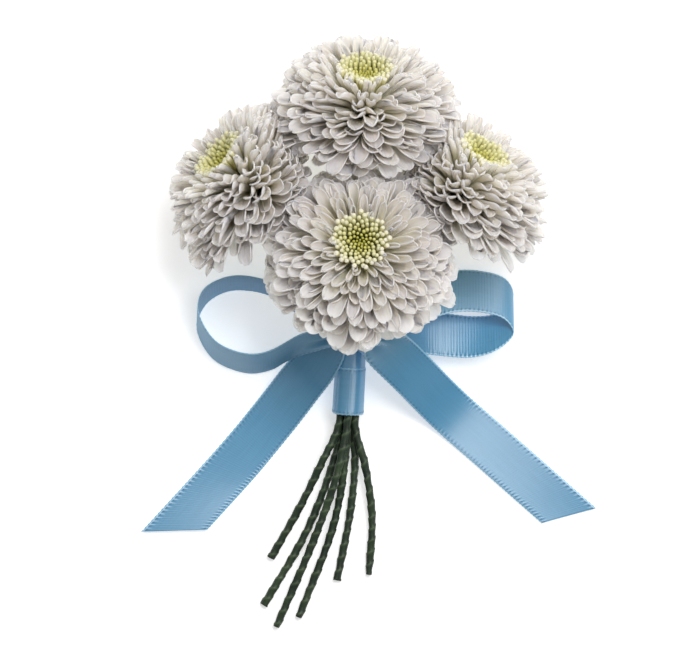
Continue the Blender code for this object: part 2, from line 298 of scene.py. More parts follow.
def bloomFrames():
    found = {}
    for name in blooms:
        base, button = nodePoints(f"{name}_bloom_green_base"), nodePoints(f"{name}_bloom_button")
        axis = Vector(button.mean(axis=0) - base.mean(axis=0)).normalized()
        whorl = nodePoints(f"{name}_bloom_outer_petals")
        middle = Vector(base.mean(axis=0))
        away = [Vector(p) - middle for p in whorl]
        radius = max((a - axis * a.dot(axis)).length for a in away)
        found[name] = {"axis": axis, "middle": middle, "radius": radius,
                       "foot": min(axis.dot(Vector(p) - middle) for p in base)}
    radius = max(place["radius"] for place in found.values())
    for place in found.values():
        place["radius"] = radius
        up = place["foot"] + bloomShape["centreHeight"] * radius
        place["centre"] = place["middle"] + place["axis"] * up
        turn = place["axis"].to_track_quat("Z", "Y").to_matrix().to_4x4()
        place["matrix"] = Matrix.Translation(place["centre"]) @ turn
    return found


def wallsOf(name, places):
    walls = [(np.array((0, 0, tableGap)), np.array((0, 0, -1.0)))]
    for (first, second), (share, lean, firstMesh, secondMesh) in meetings.items():
        if name not in (first, second):
            continue
        start, end = places[first]["centre"], places[second]["centre"]
        normal = (end - start + Vector((0, 0, lean))).normalized()
        mesh = firstMesh if name == first else secondMesh
        if name == second:
            normal = -normal
        walls.append((np.array(start.lerp(end, share) + normal * mesh), np.array(normal)))
    return walls


def pressed(points, walls, give=0.0):
    # petals give way smoothly where a neighbour or the table is
    for at, normal in walls:
        past = np.maximum((points - at) @ normal + give + pressDepth, 0)
        kept = pressDepth * 0.96 * (1 - np.exp(-past / pressDepth))
        points = points - normal * (past - kept)[..., None]
    return points


def floretRanks(count):
    # even cover of the dome: as many florets in each band as it has area
    shape = bloomShape
    s = np.linspace(0, 1, 200)
    r = np.interp(s, shape["places"], shape["tipRadius"])
    z = np.interp(s, shape["places"], shape["tipHeight"])
    area = np.concatenate([[0], np.cumsum((r[1:] + r[:-1]) / 2 * np.hypot(np.diff(r), np.diff(z)))])
    return np.interp((np.arange(count) + 0.5) / count * area[-1], area, s)


def addFloret(bm, layers, matrix, walls, rank, angle, radius, rng):
    shape = bloomShape

    def at(key):
        return float(np.interp(rank, shape["places"], shape[key]))

    # its middle line, in a plane through the bloom's axis
    angle += rng.uniform(-1, 1) * shape["turnJitter"]
    outward = np.array((math.cos(angle), math.sin(angle), 0))
    side = np.array((math.sin(angle), -math.cos(angle), 0))
    up = np.array((0, 0, 1.0))
    matrix = np.array(matrix)
    give = rng.uniform(0, shape["give"])
    reach = 1 + rng.uniform(-1, 0.4) * shape["lengthJitter"]
    start = np.array((at("baseRadius"), at("baseHeight"))) * radius
    end = start + (np.array((at("tipRadius"), at("tipHeight"))) * radius - start) * reach
    # where a neighbour is in its way it grows shorter
    foot, tip = (matrix[:3, :3] @ (r * outward + z * up) + matrix[:3, 3] for r, z in (start, end))
    kept = 1.0
    for place, normal in walls:
        before, past = (foot - place) @ normal + give, (tip - place) @ normal + give
        if past > 0 > before:
            kept = min(kept, -before / (past - before))
    kept = max(kept, shape["shortest"])
    end = start + (end - start) * kept
    leave = math.radians(at("leaves") + rng.uniform(-1, 1) * shape["leaveJitter"])
    arrive = math.radians(at("arrives") + rng.uniform(-1, 1) * shape["arriveJitter"])
    span = np.linalg.norm(end - start)
    first = start + shape["bow"] * span * np.array((math.sin(leave), math.cos(leave)))
    second = end - shape["bow"] * span * np.array((math.sin(arrive), math.cos(arrive)))

    # rows along it, the last ones going round the tip
    rows, columns = shape["rows"], shape["columns"]
    width = at("width") * mm * (1 + rng.uniform(-1, 1) * shape["widthJitter"]) * (0.5 + 0.5 * kept)
    tipShare = shape["tipShare"] * min(1.0, width / span)
    straight = rows - len(shape["tipRows"])
    u = np.linspace(0, 1 - tipShare, straight + 1)
    half = 0.50 + 0.50 * easeArray(u / u[-1], 0.0, 0.8)
    tipAngles = np.radians(shape["tipRows"])
    u = np.concatenate([u, 1 - tipShare + tipShare * np.sin(tipAngles)])
    half = np.concatenate([half, np.cos(tipAngles) ** 0.75])
    # the columns are closer together near the curled rims
    v = np.linspace(-1, 1, columns + 1)
    v *= 1.30 - 0.30 * v * v
    notch = rng.uniform(-0.25, 0.35) * tipShare * np.where(u > 1 - 0.3 * tipShare, 1.0, 0.0)
    along = u[:, None] - notch[:, None] * (1 - np.abs(v)[None, :]) ** 2
    t = along[..., None]
    line = (1 - t) ** 3 * start + 3 * (1 - t) ** 2 * t * first + 3 * (1 - t) * t * t * second + t**3 * end
    slope = (3 * (1 - t) ** 2 * (first - start) + 6 * (1 - t) * t * (second - first)
             + 3 * t * t * (end - second))
    slope /= np.linalg.norm(slope, axis=2)[..., None]

    # the roll of its two edges
    wrapTip = at("wrapTip") * (1 + rng.uniform(-0.25, 0.2))
    wrap = np.radians(at("wrapBase") + (wrapTip - at("wrapBase")) * easeArray(u, 0.1, 0.75))
    rollSteps = 30
    step = np.linspace(0, 1, rollSteps + 1)
    bend = wrap[:, None] * step[None, :] ** at("rimCurl")
    outTable = np.cumsum(np.cos(bend), axis=1) / len(step)
    upTable = np.cumsum(np.sin(bend), axis=1) / len(step)
    pick = np.round(np.abs(v) * rollSteps).astype(int)
    size = (half * width / 2)[:, None]
    sideways = outTable[:, pick] * np.sign(v)[None, :] * size
    lift = upTable[:, pick] * size + width * at("tipLift") * (easeArray(u, 0.7, 1.0) ** 2)[:, None]

    turn = rng.uniform(-1, 1) * shape["rollJitter"] * u[:, None]
    sway = rng.uniform(-1, 1) * shape["sway"] * (u**2)[:, None]
    x = sideways * np.cos(turn) - lift * np.sin(turn) + sway
    y = sideways * np.sin(turn) + lift * np.cos(turn)
    points = (line[..., :1] * outward + line[..., 1:] * up + x[..., None] * side
              + y[..., None] * (slope[..., :1] * up - slope[..., 1:] * outward))
    points = pressed(points @ matrix[:3, :3].T + matrix[:3, 3], walls, give)
    tint = rng.random()
    made = bmesh.ops.create_grid(bm, x_segments=columns, y_segments=rows, size=0.5, calc_uvs=True)
    for vert in made["verts"]:
        i, j = round((vert.co.y + 0.5) * rows), round((vert.co.x + 0.5) * columns)
        vert.co = points[i, j]
        vert[layers["tint"]] = tint
        vert[layers["rank"]] = rank
        vert[layers["along"]] = u[i]


def makePetals(name, place, walls, material, rng):
    shape = bloomShape
    ranks = floretRanks(shape["florets"])
    for ring, low, high in petalRings:
        bm = bmesh.new()
        bm.loops.layers.uv.new("UVMap")
        layers = {key: bm.verts.layers.float.new(key) for key in ("tint", "rank", "along")}
        for i, rank in enumerate(ranks):
            if low <= rank < high:
                addFloret(bm, layers, place["matrix"], walls, rank, (i + shape["buds"]) * goldenAngle,
                          place["radius"], rng)
        finishPiece(f"{name}Bloom{ring.split('_')[0].title()}Petals", bm, material,
                    [f"{name}_bloom_{ring}"], thickness=shape["thickness"])


buttonShape = {
    "radius": 0.29,  # bloom radii
    "rimHeight": 0.47,
    "dipHeight": 0.38,
    "smallBud": 0.30 * mm,
    "bigBud": 0.66 * mm,
    "rodLength": 4.2 * mm,
    "topJitter": 0.35 * mm,
    "leanIn": -0.25,  # at the middle, in radians, and the other way at the rim
    "leanOut": 0.42,
    "leanJitter": 0.08,
    "openingFrom": 0.72,  # from this rank outwards some florets begin to open, with a dimple
    "openingShare": 0.6,
    "dimple": 0.45,
}


def makeButton(name, place, material, rng):
    # unopened florets: round-headed rods, smaller and greener towards the dip in the middle
    shape = buttonShape
    bm = bmesh.new()
    bm.loops.layers.uv.new("UVMap")
    layers = {key: bm.verts.layers.float.new(key) for key in ("tint", "rank", "height")}
    count = bloomShape["buds"]
    for i in range(count):
        rank = (i + 0.5) / count
        away = shape["radius"] * place["radius"] * rank**0.62 * rng.uniform(0.96, 1.04)
        angle = i * goldenAngle + rng.uniform(-0.06, 0.06)
        size = blend(shape["smallBud"], shape["bigBud"], rank**0.8) * rng.uniform(0.88, 1.12)
        top = blend(shape["dipHeight"], shape["rimHeight"], easeIn(rank, 0.0, 0.75)) * place["radius"]
        top += rng.uniform(-1, 1) * shape["topJitter"]
        lean = blend(shape["leanIn"], shape["leanOut"], rank) + rng.uniform(-1, 1) * shape["leanJitter"]
        made = bmesh.ops.create_uvsphere(bm, u_segments=8, v_segments=7, radius=1.0, calc_uvs=True)
        spin = Matrix.Rotation(angle, 4, "Z")
        spin = spin @ Matrix.Translation((away, 0, top)) @ Matrix.Rotation(lean, 4, "Y")
        opening = rank > shape["openingFrom"] and rng.random() < shape["openingShare"]
        for vert in made["verts"]:
            x, y, z = vert.co
            # a long round head above, a rod that narrows a little below
            high = shape["dimple"] if z > 0.99 and opening else z
            waist = 1.0 if z > 0 else 1.0 + 0.25 * z
            height = high * size * 1.15 if z > 0 else z * shape["rodLength"]
            local = Vector((x * size * waist, y * size * waist, height))
            vert.co = place["matrix"] @ (spin @ local)
            vert[layers["tint"]] = (i * 0.618) % 1.0
            vert[layers["rank"]] = rank
            vert[layers["height"]] = z
    finishPiece(f"{name}BloomButton", bm, material, [f"{name}_bloom_button"])


baseShape = {
    # radius and height of the turned middle, in bloom radii
    "profile": ((0.0, -0.455), (0.078, -0.455), (0.072, -0.40), (0.095, -0.36), (0.20, -0.31), (0.30, -0.26),
                (0.20, -0.20), (0.16, -0.05), (0.12, 0.12), (0.0, 0.16)),
    "sides": 24,
    # each ring of bracts: radius and height of the foot, then of the tip, and how many
    "bractRings": ((0.11, -0.365, 0.27, -0.300, 9), (0.14, -0.345, 0.33, -0.275, 11),
                   (0.18, -0.325, 0.40, -0.262, 13)),
    "bractWidth": 3.0 * mm,
    "bractUnder": 0.12 * mm,
    "bractThickness": 0.22 * mm,
}


def makeGreenBase(name, place, walls, material, rng):
    shape, radius = baseShape, place["radius"]
    bm = bmesh.new()
    bm.loops.layers.uv.new("UVMap")
    layers = {key: bm.verts.layers.float.new(key) for key in ("tint", "rank")}
    points = [bm.verts.new((r * radius, 0, z * radius)) for r, z in shape["profile"]]
    edges = [bm.edges.new(pair) for pair in zip(points, points[1:])]
    bmesh.ops.spin(bm, geom=points + edges, cent=(0, 0, 0), axis=(0, 0, 1), angle=2 * math.pi,
                   steps=shape["sides"], use_merge=True)
    bmesh.ops.remove_doubles(bm, verts=bm.verts, dist=1e-6)
    bmesh.ops.recalc_face_normals(bm, faces=bm.faces)
    bmesh.ops.transform(bm, matrix=place["matrix"], verts=bm.verts)
    for ring, (r0, z0, r1, z1, count) in enumerate(shape["bractRings"]):
        for k in range(count):
            angle = (k + ring * 0.37) * 2 * math.pi / count
            radial = Vector((math.cos(angle), math.sin(angle), 0))
            side = Vector((math.sin(angle), -math.cos(angle), 0))
            tint = rng.random()
            made = bmesh.ops.create_grid(bm, x_segments=4, y_segments=6, size=0.5, calc_uvs=True)
            bottom = [vert.co.copy() for vert in made["verts"]]
            slab = bmesh.ops.extrude_face_region(
                bm, geom=[face for face in bm.faces if all(v in made["verts"] for v in face.verts)])
            tops = [item for item in slab["geom"] if isinstance(item, bmesh.types.BMVert)]
            placed = [(vert, co, 0.0) for vert, co in zip(made["verts"], bottom)]
            placed += [(vert, vert.co.copy(), 1.0) for vert in tops]
            for vert, co, layer in placed:
                u, v = co.y + 0.5, co.x * 2
                half = shape["bractWidth"] / 2 * math.sqrt(max(0.0, 1 - u**3)) * blend(0.7, 1.0, u)
                r = blend(r0, r1, u) * radius
                z = (blend(z0, z1, u) - 0.03 * math.sin(u * math.pi)) * radius + half * 0.35 * v * v
                z -= shape["bractUnder"] + layer * shape["bractThickness"]
                local = radial * r + side * half * v + Vector((0, 0, z))
                vert.co = pressed(np.array(place["matrix"] @ local), walls)
                vert[layers["tint"]] = tint
                vert[layers["rank"]] = 1.0
    bmesh.ops.recalc_face_normals(bm, faces=bm.faces)
    finishPiece(f"{name}BloomGreenBase", bm, material, [f"{name}_bloom_green_base"])


# Petal finish: living chrysanthemum petal. Thin wet cells scatter light, so it is a soft, slightly
# see-through white, greenish where it is young, with a faint sheen along its lengthwise veins.
def petalMaterial():
    material, tree, shader = newMaterial("freshChrysanthemumPetal")
    uv = addNode(tree, "ShaderNodeUVMap", {"uv_map": "UVMap"})
    split = addNode(tree, "ShaderNodeSeparateXYZ", links={"Vector": uv.outputs["UV"]})
    tint = addNode(tree, "ShaderNodeAttribute", {"attribute_name": "tint"})
    rank = addNode(tree, "ShaderNodeAttribute", {"attribute_name": "rank"})
    place = addNode(tree, "ShaderNodeAttribute", {"attribute_name": "along"})
    # young inner petals are green further up
    early = addNode(tree, "ShaderNodeMath", {"operation": "MULTIPLY_ADD"},
                    {1: 0.26, 2: -0.16}, {0: rank.outputs["Fac"]})
    height = addNode(tree, "ShaderNodeMath", {"operation": "ADD"},
                     links={0: place.outputs["Fac"], 1: early.outputs["Value"]})
    along = addNode(tree, "ShaderNodeValToRGB", links={"Fac": height.outputs["Value"]})
    fillRamp(along, ((0.05, "#F2EEA2"), (0.42, "#F9F2C2"), (0.68, "#F9F1D8"), (0.94, "#F7F0E5")))
    cream = addNode(tree, "ShaderNodeMix", {"data_type": "RGBA"},
                    {"B": toLinear("#F2E6E2")}, {"A": along.outputs["Color"]})
    mauve = addNode(tree, "ShaderNodeMath", {"operation": "MULTIPLY"}, {1: 0.6}, {0: tint.outputs["Fac"]})
    fillInputs(tree, cream, links={"Factor": mauve.outputs["Value"]})
    # veins: seven or so lines along a 3 mm petal
    veins = addNode(tree, "ShaderNodeMath", {"operation": "MULTIPLY"}, {1: 44.0}, {0: split.outputs["X"]})
    wave = addNode(tree, "ShaderNodeMath", {"operation": "SINE"}, links={0: veins.outputs["Value"]})
    # the rolled rims and the rounded tip are painted paler: a painted highlight where light catches them
    fromMiddle = addNode(tree, "ShaderNodeMath", {"operation": "SUBTRACT"}, {1: 0.5}, {0: split.outputs["X"]})
    distance = addNode(tree, "ShaderNodeMath", {"operation": "ABSOLUTE"},
                       links={0: fromMiddle.outputs["Value"]})
    rim = addNode(tree, "ShaderNodeMapRange", {}, {"From Min": 0.34, "From Max": 0.48},
                  {"Value": distance.outputs["Value"]})
    tipRim = addNode(tree, "ShaderNodeMapRange", {}, {"From Min": 0.86, "From Max": 0.97},
                     {"Value": split.outputs["Y"]})
    anyRim = addNode(tree, "ShaderNodeMath", {"operation": "MAXIMUM"},
                     links={0: rim.outputs["Result"], 1: tipRim.outputs["Result"]})
    rimHighlightShare = addNode(tree, "ShaderNodeMath", {"operation": "MULTIPLY"}, {1: 0.42},
                       {0: anyRim.outputs["Value"]})
    withPaintedHighlight = addNode(tree, "ShaderNodeMix", {"data_type": "RGBA"}, {"B": toLinear("#FDFBF8")},
                    {"A": cream.outputs["Result"], "Factor": rimHighlightShare.outputs["Value"]})
    bump = addNode(tree, "ShaderNodeBump", {}, {"Strength": 0.22, "Distance": 0.08 * mm},
                   {"Height": wave.outputs["Value"]})
    fillInputs(tree, shader, {
        "Roughness": 0.52,
        "IOR": 1.40,
        "Subsurface Weight": 0.85,
        "Subsurface Radius": (1.0, 0.92, 0.70),
        "Subsurface Scale": 3.0 * mm,
        "Sheen Weight": 0.15,
    }, {"Base Color": withPaintedHighlight.outputs["Result"], "Normal": bump.outputs["Normal"]})
    return material


# Unopened florets: the same tissue, closed, waxy and green-yellow.
def budMaterial():
    material, tree, shader = newMaterial("unopenedFloret")
    rank = addNode(tree, "ShaderNodeAttribute", {"attribute_name": "rank"})
    tint = addNode(tree, "ShaderNodeAttribute", {"attribute_name": "tint"})
    high = addNode(tree, "ShaderNodeAttribute", {"attribute_name": "height"})
    shifted = addNode(tree, "ShaderNodeMath", {"operation": "MULTIPLY_ADD"},
                      {1: 0.16, 2: -0.08}, {0: tint.outputs["Fac"]})
    age = addNode(tree, "ShaderNodeMath", {"operation": "ADD"},
                  links={0: rank.outputs["Fac"], 1: shifted.outputs["Value"]})
    head = addNode(tree, "ShaderNodeValToRGB", links={"Fac": age.outputs["Value"]})
    fillRamp(head, ((0.0, "#B0AC4A"), (0.12, "#CCC86C"), (0.38, "#DDD9A6"), (1.0, "#EBE6D4")))
    lower = addNode(tree, "ShaderNodeMapRange", {}, {"From Min": -0.35, "From Max": 0.75},
                    {"Value": high.outputs["Fac"]})
    colour = addNode(tree, "ShaderNodeMix", {"data_type": "RGBA"}, {"A": toLinear("#C4C080")},
                     {"B": head.outputs["Color"], "Factor": lower.outputs["Result"]})
    fillInputs(tree, shader, {
        "Roughness": 0.42,
        "IOR": 1.40,
        "Subsurface Weight": 0.5,
        "Subsurface Radius": (1.0, 1.0, 0.5),
        "Subsurface Scale": 0.8 * mm,
    }, {"Base Color": colour.outputs["Result"]})
    return material


# Bracts and stalk: matt green leaf tissue, its tone varying at random.
def greenBaseMaterial():
    material, tree, shader = newMaterial("greenBract")
    tint = addNode(tree, "ShaderNodeAttribute", {"attribute_name": "tint"})
    place = addNode(tree, "ShaderNodeTexCoord")
    noise = addNode(tree, "ShaderNodeTexNoise", {}, {"Scale": 900.0, "Detail": 4.0},
                    {"Vector": place.outputs["Object"]})
    mixed = addNode(tree, "ShaderNodeMath", {"operation": "ADD"},
                    links={0: tint.outputs["Fac"], 1: noise.outputs["Fac"]})
    half = addNode(tree, "ShaderNodeMath", {"operation": "MULTIPLY"}, {1: 0.5}, {0: mixed.outputs["Value"]})
    colour = addNode(tree, "ShaderNodeValToRGB", links={"Fac": half.outputs["Value"]})
    fillRamp(colour, ((0.2, "#4C6128"), (0.5, "#6C8239"), (0.8, "#93A35C")))
    bump = addNode(tree, "ShaderNodeBump", {}, {"Strength": 0.3, "Distance": 0.1 * mm},
                   {"Height": noise.outputs["Fac"]})
    fillInputs(tree, shader, {"Roughness": 0.6},
               {"Base Color": colour.outputs["Color"], "Normal": bump.outputs["Normal"]})
    return material


def makeBlooms():
    places = bloomFrames()
    petal, bud, green = petalMaterial(), budMaterial(), greenBaseMaterial()
    for k, name in enumerate(blooms):
        rng = random.Random(70 + k)
        place, walls = places[name], wallsOf(name, places)
        makePetals(name, place, walls, petal, rng)
        makeButton(name, place, bud, rng)
        makeGreenBase(name, place, walls, green, rng)
        print("bloom", name, "made")


# Wires

wireShape = {
    "radius": 0.86 * mm,
    "ridge": 0.24 * mm,  # how far the overlapping edge of the tape stands up
    "pitch": 3.1 * mm,  # the tape's turns
    "sides": 18,
    "lap": 0.88,  # share of a turn over which the tape climbs to its edge
    "lapHeight": 0.77,
    "drift": 0.25,  # turns by which the winding wanders, over this length
    "driftOver": 6 * mm,
    "lump": 0.05 * mm,
    "lumpOver": 1.7 * mm,
    "sink": 0.04 * mm,  # the tape's low side is this far inside the radius
    "step": 0.28 * mm,
    "endFlare": 0.22,
    "endLength": 2.4 * mm,
}


def makeWire(number, material):
    shape = wireShape
    node = f"wire_{number}"
    rings = crossSections(node, lambda sides: max(sides) < 2 * mm)
    centres = [sum(ring, Vector()) / len(ring) for ring in rings]
    length = sum((b - a).length for a, b in zip(centres, centres[1:]))
    rows = int(length / shape["step"])
    curve = throughPoints(centres)
    run = distancesAlong(curve)
    line = readAt(curve, run, np.linspace(0, run[-1], rows + 1))
    tangents = np.gradient(line, axis=0)
    tangents /= np.linalg.norm(tangents, axis=1)[:, None]
    rng = random.Random(number)
    phase = rng.uniform(0, 6)
    # a frame carried along the wire without twisting
    side = Vector(tangents[0]).cross(Vector((0, 0, 1))).normalized()
    frames = []
    for tangent in tangents:
        tangent = Vector(tangent)
        side = (side - tangent * side.dot(tangent)).normalized()
        frames.append((side, tangent.cross(side)))
    bm = bmesh.new()
    ridgeLayer = bm.verts.layers.float.new("ridge")
    bmesh.ops.create_grid(bm, x_segments=shape["sides"], y_segments=rows, size=0.5)
    for vert in bm.verts:
        i = round((vert.co.y + 0.5) * rows)
        around = (vert.co.x + 0.5) * 2 * math.pi
        run = i / rows * length
        drift = shape["drift"] * math.sin(run / shape["driftOver"] + phase)
        saw = (run / shape["pitch"] + drift - around / (2 * math.pi)) % 1.0
        ridge = saw**2 if saw < shape["lap"] else (1 - saw) / (1 - shape["lap"]) * shape["lapHeight"]
        vert[ridgeLayer] = ridge
        lumps = shape["lump"] * math.sin(run / shape["lumpOver"] + phase + 2 * math.sin(around))
        r = shape["radius"] - shape["sink"] + shape["ridge"] * ridge + lumps
        if run < shape["endLength"]:  # the cut end is nipped flat and a little wider
            squeeze = 1 - run / shape["endLength"]
            r *= 1 + shape["endFlare"] * squeeze * math.cos(2 * (around - phase))
        across, upward = frames[i]
        vert.co = Vector(line[i]) + (across * math.cos(around) + upward * math.sin(around)) * r
    bmesh.ops.remove_doubles(bm, verts=bm.verts, dist=1e-6)
    ends = [edge for edge in bm.edges if edge.is_boundary]
    bmesh.ops.holes_fill(bm, edges=ends, sides=0)
    bmesh.ops.recalc_face_normals(bm, faces=bm.faces)
    finishPiece(f"tapedWire{number}", bm, material, [node])


# Stem tape: green crepe paper soaked in wax. It sticks to itself, so its turns show as soft ridges
# that catch a dull waxy light, with fine crepe wrinkles between.
def tapeMaterial():
    material, tree, shader = newMaterial("waxedCrepeTape")
    place = addNode(tree, "ShaderNodeTexCoord")
    wide, fine = (addNode(tree, "ShaderNodeTexNoise", {}, {"Scale": scale, "Detail": 3.0},
                          {"Vector": place.outputs["Object"]}) for scale in (260.0, 1500.0))
    ridge = addNode(tree, "ShaderNodeAttribute", {"attribute_name": "ridge"})
    # the crests of the tape's ridges are painted paler: a painted highlight
    ridgeHighlight = addNode(tree, "ShaderNodeMapRange", {}, {"From Min": 0.42, "From Max": 0.78, "To Max": 0.6},
                   {"Value": ridge.outputs["Fac"]})
    colour = addNode(tree, "ShaderNodeValToRGB", links={"Fac": wide.outputs["Fac"]})
    fillRamp(colour, ((0.3, "#1B281B"), (0.5, "#263623"), (0.72, "#37472F")))
    withPaintedHighlight = addNode(tree, "ShaderNodeMix", {"data_type": "RGBA"}, {"B": toLinear("#5F7050")},
                    {"A": colour.outputs["Color"], "Factor": ridgeHighlight.outputs["Result"]})
    bump = addNode(tree, "ShaderNodeBump", {}, {"Strength": 0.5, "Distance": 0.12 * mm},
                   {"Height": fine.outputs["Fac"]})
    fillInputs(tree, shader, {"Roughness": 0.48, "IOR": 1.45},
               {"Base Color": withPaintedHighlight.outputs["Result"], "Normal": bump.outputs["Normal"]})
    return material


def makeWires():
    tape = tapeMaterial()
    for number in range(1, 7):
        makeWire(number, tape)
    print("wires made")


# Ribbon

ribbonShape = {
    "width": 11.0 * mm,
    "thickness": 0.20 * mm,
    "stitch": 1.0 * mm,  # pitch of the woven edge's loops
    "stitchHeight": 0.07 * mm,
    "stitchRow": 0.55 * mm,  # from the edge to the middle of the row of stitches
    "stitchWidth": 0.22 * mm,
    "scallop": 0.07 * mm,
    "edgeBand": 0.9 * mm,
    "rib": 0.68 * mm,  # pitch of the cross ribs on the dull side
    "ribHeight": 0.035 * mm,
    "columns": 22,
    "gatheredBy": 0.55,  # how much narrower a gathered end is
    "pleats": 2.5,
}


def ribbonCloth(name, grid, nodes, material, ribs=1.0, tucked=False):
    # grid: rows of points across, evenly spaced along; the woven edges and ribs are raised on it,
    # unless its edges are tucked in
    shape = ribbonShape
    rows, columns = len(grid) - 1, len(grid[0]) - 1
    sideways, normals = gridDirections(grid)
    run = distancesAlong(grid[:, columns // 2])
    length = run[-1]
    flatWidth = shape["width"]
    bm = bmesh.new()
    uv = bm.loops.layers.uv.new("UVMap")
    bmesh.ops.create_grid(bm, x_segments=columns, y_segments=rows, size=0.5, calc_uvs=True)
    for vert in bm.verts:
        i, j = round((vert.co.y + 0.5) * rows), round((vert.co.x + 0.5) * columns)
        fromEdge = (0.5 - abs(j / columns - 0.5)) * flatWidth
        beat = 0 if tucked else math.sin(2 * math.pi * run[i] / shape["stitch"])
        edge = 0 if tucked else 1 - easeIn(fromEdge, 0.0, shape["edgeBand"])
        inRow = math.exp(-((fromEdge - shape["stitchRow"]) / shape["stitchWidth"]) ** 2)
        rise = shape["stitchHeight"] * (inRow * beat * 1.2 + 0.5 * edge)
        rise += ribs * shape["ribHeight"] * math.sin(2 * math.pi * run[i] / shape["rib"]) * (1 - edge)
        outward = 1 if j * 2 > columns else -1
        scallop = shape["scallop"] * beat * (1 if j in (0, columns) else 0)
        vert.co = Vector(grid[i, j] + normals[i, j] * rise + sideways[i, j] * outward * scallop)
    for face in bm.faces:
        for loop in face.loops:
            u, v = loop[uv].uv
            u = blend(0.12, 0.88, u) if tucked else u
            # millimetres, so that patterns keep their real size
            loop[uv].uv = (u * flatWidth / mm, v * length / mm)
    piece = finishPiece(name, bm, material, nodes, thickness=shape["thickness"])
    return piece


def railGrid(railA, railB, step, pinchAt, fold, reach):
    # a ruled strip between two smooth edges; pinchAt lists the ends that are gathered
    middles = [(Vector(a) + Vector(b)) / 2 for a, b in zip(railA, railB)]
    length = sum((b - a).length for a, b in zip(middles, middles[1:]))
    a, b = throughPoints(railA), throughPoints(railB)
    run = distancesAlong((a + b) / 2)
    even = np.linspace(0, run[-1], int(length / step) + 1)
    a, b = readAt(a, run, even), readAt(b, run, even)
    v = np.linspace(0, 1, ribbonShape["columns"] + 1)
    grid = a[:, None, :] * (1 - v[None, :, None]) + b[:, None, :] * v[None, :, None]
    return gathered(grid, even, pinchAt, fold, reach)


def gathered(grid, run, pinchAt, fold, reach):
    # ends drawn together into pleats
    normals = gridDirections(grid)[1]
    pleats = np.sin(np.linspace(-1, 1, grid.shape[1]) * ribbonShape["pleats"] * math.pi)
    for end in pinchAt:
        away = run if end == 0 else run[-1] - run
        for i in range(len(grid)):
            share = 1 - easeIn(away[i], 0, reach)
            if share <= 0:
                continue
            centre = grid[i].mean(axis=0)
            grid[i] = centre + (grid[i] - centre) * (1 - ribbonShape["gatheredBy"] * share)
            grid[i] += normals[i] * (fold * share * pleats)[:, None]
    return grid


loopShape = {
    "step": 0.16 * mm,
    "fold": 0.55 * mm,
    "gather": 11 * mm,  # how far from the knot the pleats run
    "ribs": 0.5,
    # the right loop's own weight leans it flatter, by degrees, the upper strand most
    "lean": 6,
    "upperLean": 11,
    "upperOver": 8 * mm,
    "upperShift": -1.0 * mm,
    # and the tail that crosses its lower strand presses that down
    "pressedOver": 0.4,  # share of the loop
    "pressedLean": 18,
    "pressedShift": 0.8 * mm,
    "pressedDown": 2.4 * mm,
}


def makeLoop(side, material):
    shape = loopShape
    node = f"bow_loop_{side}"
    railA, railB = ribbonRails(node)
    grid = railGrid(railA, railB, shape["step"], pinchAt=(0, 1), fold=shape["fold"], reach=shape["gather"])
    if side == "right":
        middle = grid.mean(axis=1, keepdims=True)
        y, z = (grid - middle)[..., 1], (grid - middle)[..., 2]
        run = np.linspace(0, 1, len(grid))
        free = np.sin(run * math.pi)[:, None] ** 0.5
        upper = easeArray(middle[..., 1], 0.0, shape["upperOver"])
        under = np.sin(np.clip(run / shape["pressedOver"], 0, 1) * math.pi)[:, None]
        lean = np.radians(shape["lean"] + shape["upperLean"] * upper) * free
        lean = lean + math.radians(shape["pressedLean"]) * under
        shift = shape["pressedShift"] * under + shape["upperShift"] * upper * free
        grid[..., 1] = middle[..., 1] + shift + y * np.cos(lean) - z * np.sin(lean)
        grid[..., 2] = middle[..., 2] - shape["pressedDown"] * under + y * np.sin(lean) + z * np.cos(lean)
    ribbonCloth(f"bowLoop{side.title()}", grid, [node], material,
                ribs=shape["ribs"])


tailShape = {
    "step": 0.22 * mm,
    "fold": 0.35 * mm,
    "gather": 5 * mm,
    "intoKnot": 0.42,  # how far it goes on towards the knot's middle
    "ribs": 0.12,
    "waves": 1.15,
    "wave": {"left": (0.4, 0.45 * mm), "right": (2.2, 0.12 * mm)},  # start in radians, height
    "edgeLift": 0.22 * mm,  # how far the edges stand up at the free end
    # the right tail comes out over the edge of the loop: its lift beside the knot, how much it gains
    # and by where, and where it is down on the table again, in shares of its length
    "overKnot": 3.4 * mm,
    "overLoop": 2.6 * mm,
    "highFrom": 0.15,
    "downAt": 0.46,
    "stiffness": 0.13,  # satin takes no sharp bend: each one is spread over this share, both ways
}


def makeTail(side, material):
    shape = tailShape
    node = f"bow_tail_{side}"
    railA, railB = tailRails(node)
    # the solid begins at full width; the ribbon itself goes on into the knot
    knot = Vector(nodePoints("bow_knot").mean(axis=0))
    start = (railA[0] + railB[0]) / 2
    towards = (knot - start) * shape["intoKnot"]
    for rail in (railA, railB):
        rail.insert(0, rail[0] + towards)
    grid = railGrid(railA, railB, shape["step"], pinchAt=(0,), fold=shape["fold"], reach=shape["gather"])
    run = np.linspace(0, 1, len(grid))[:, None]
    across = np.linspace(-1, 1, grid.shape[1])[None, :]
    phase, height = shape["wave"][side]
    wave = np.sin(run * 2 * math.pi * shape["waves"] + phase) * easeArray(run, 0.1, 0.4)
    lift = height * (1 + wave) + shape["edgeLift"] * across**2 * run
    grid[:, :, 2] += lift * easeArray(run, 0.15, 0.5)
    if side == "right":
        over = shape["overKnot"] + shape["overLoop"] * easeArray(run, 0.0, shape["highFrom"])
        grid[:, :, 2] += over * (1 - easeArray(run, shape["highFrom"], shape["downAt"]))
        reach = int(len(grid) * shape["stiffness"])
        window = np.hanning(2 * reach + 1)
        window /= window.sum()
        heights = np.pad(grid[:, :, 2], ((reach, reach), (0, 0)), mode="edge")
        grid[:, :, 2] = np.stack([np.convolve(column, window, "valid") for column in heights.T], axis=1)
    ribbonCloth(f"bowTail{side.title()}", grid, [node], material, ribs=shape["ribs"])


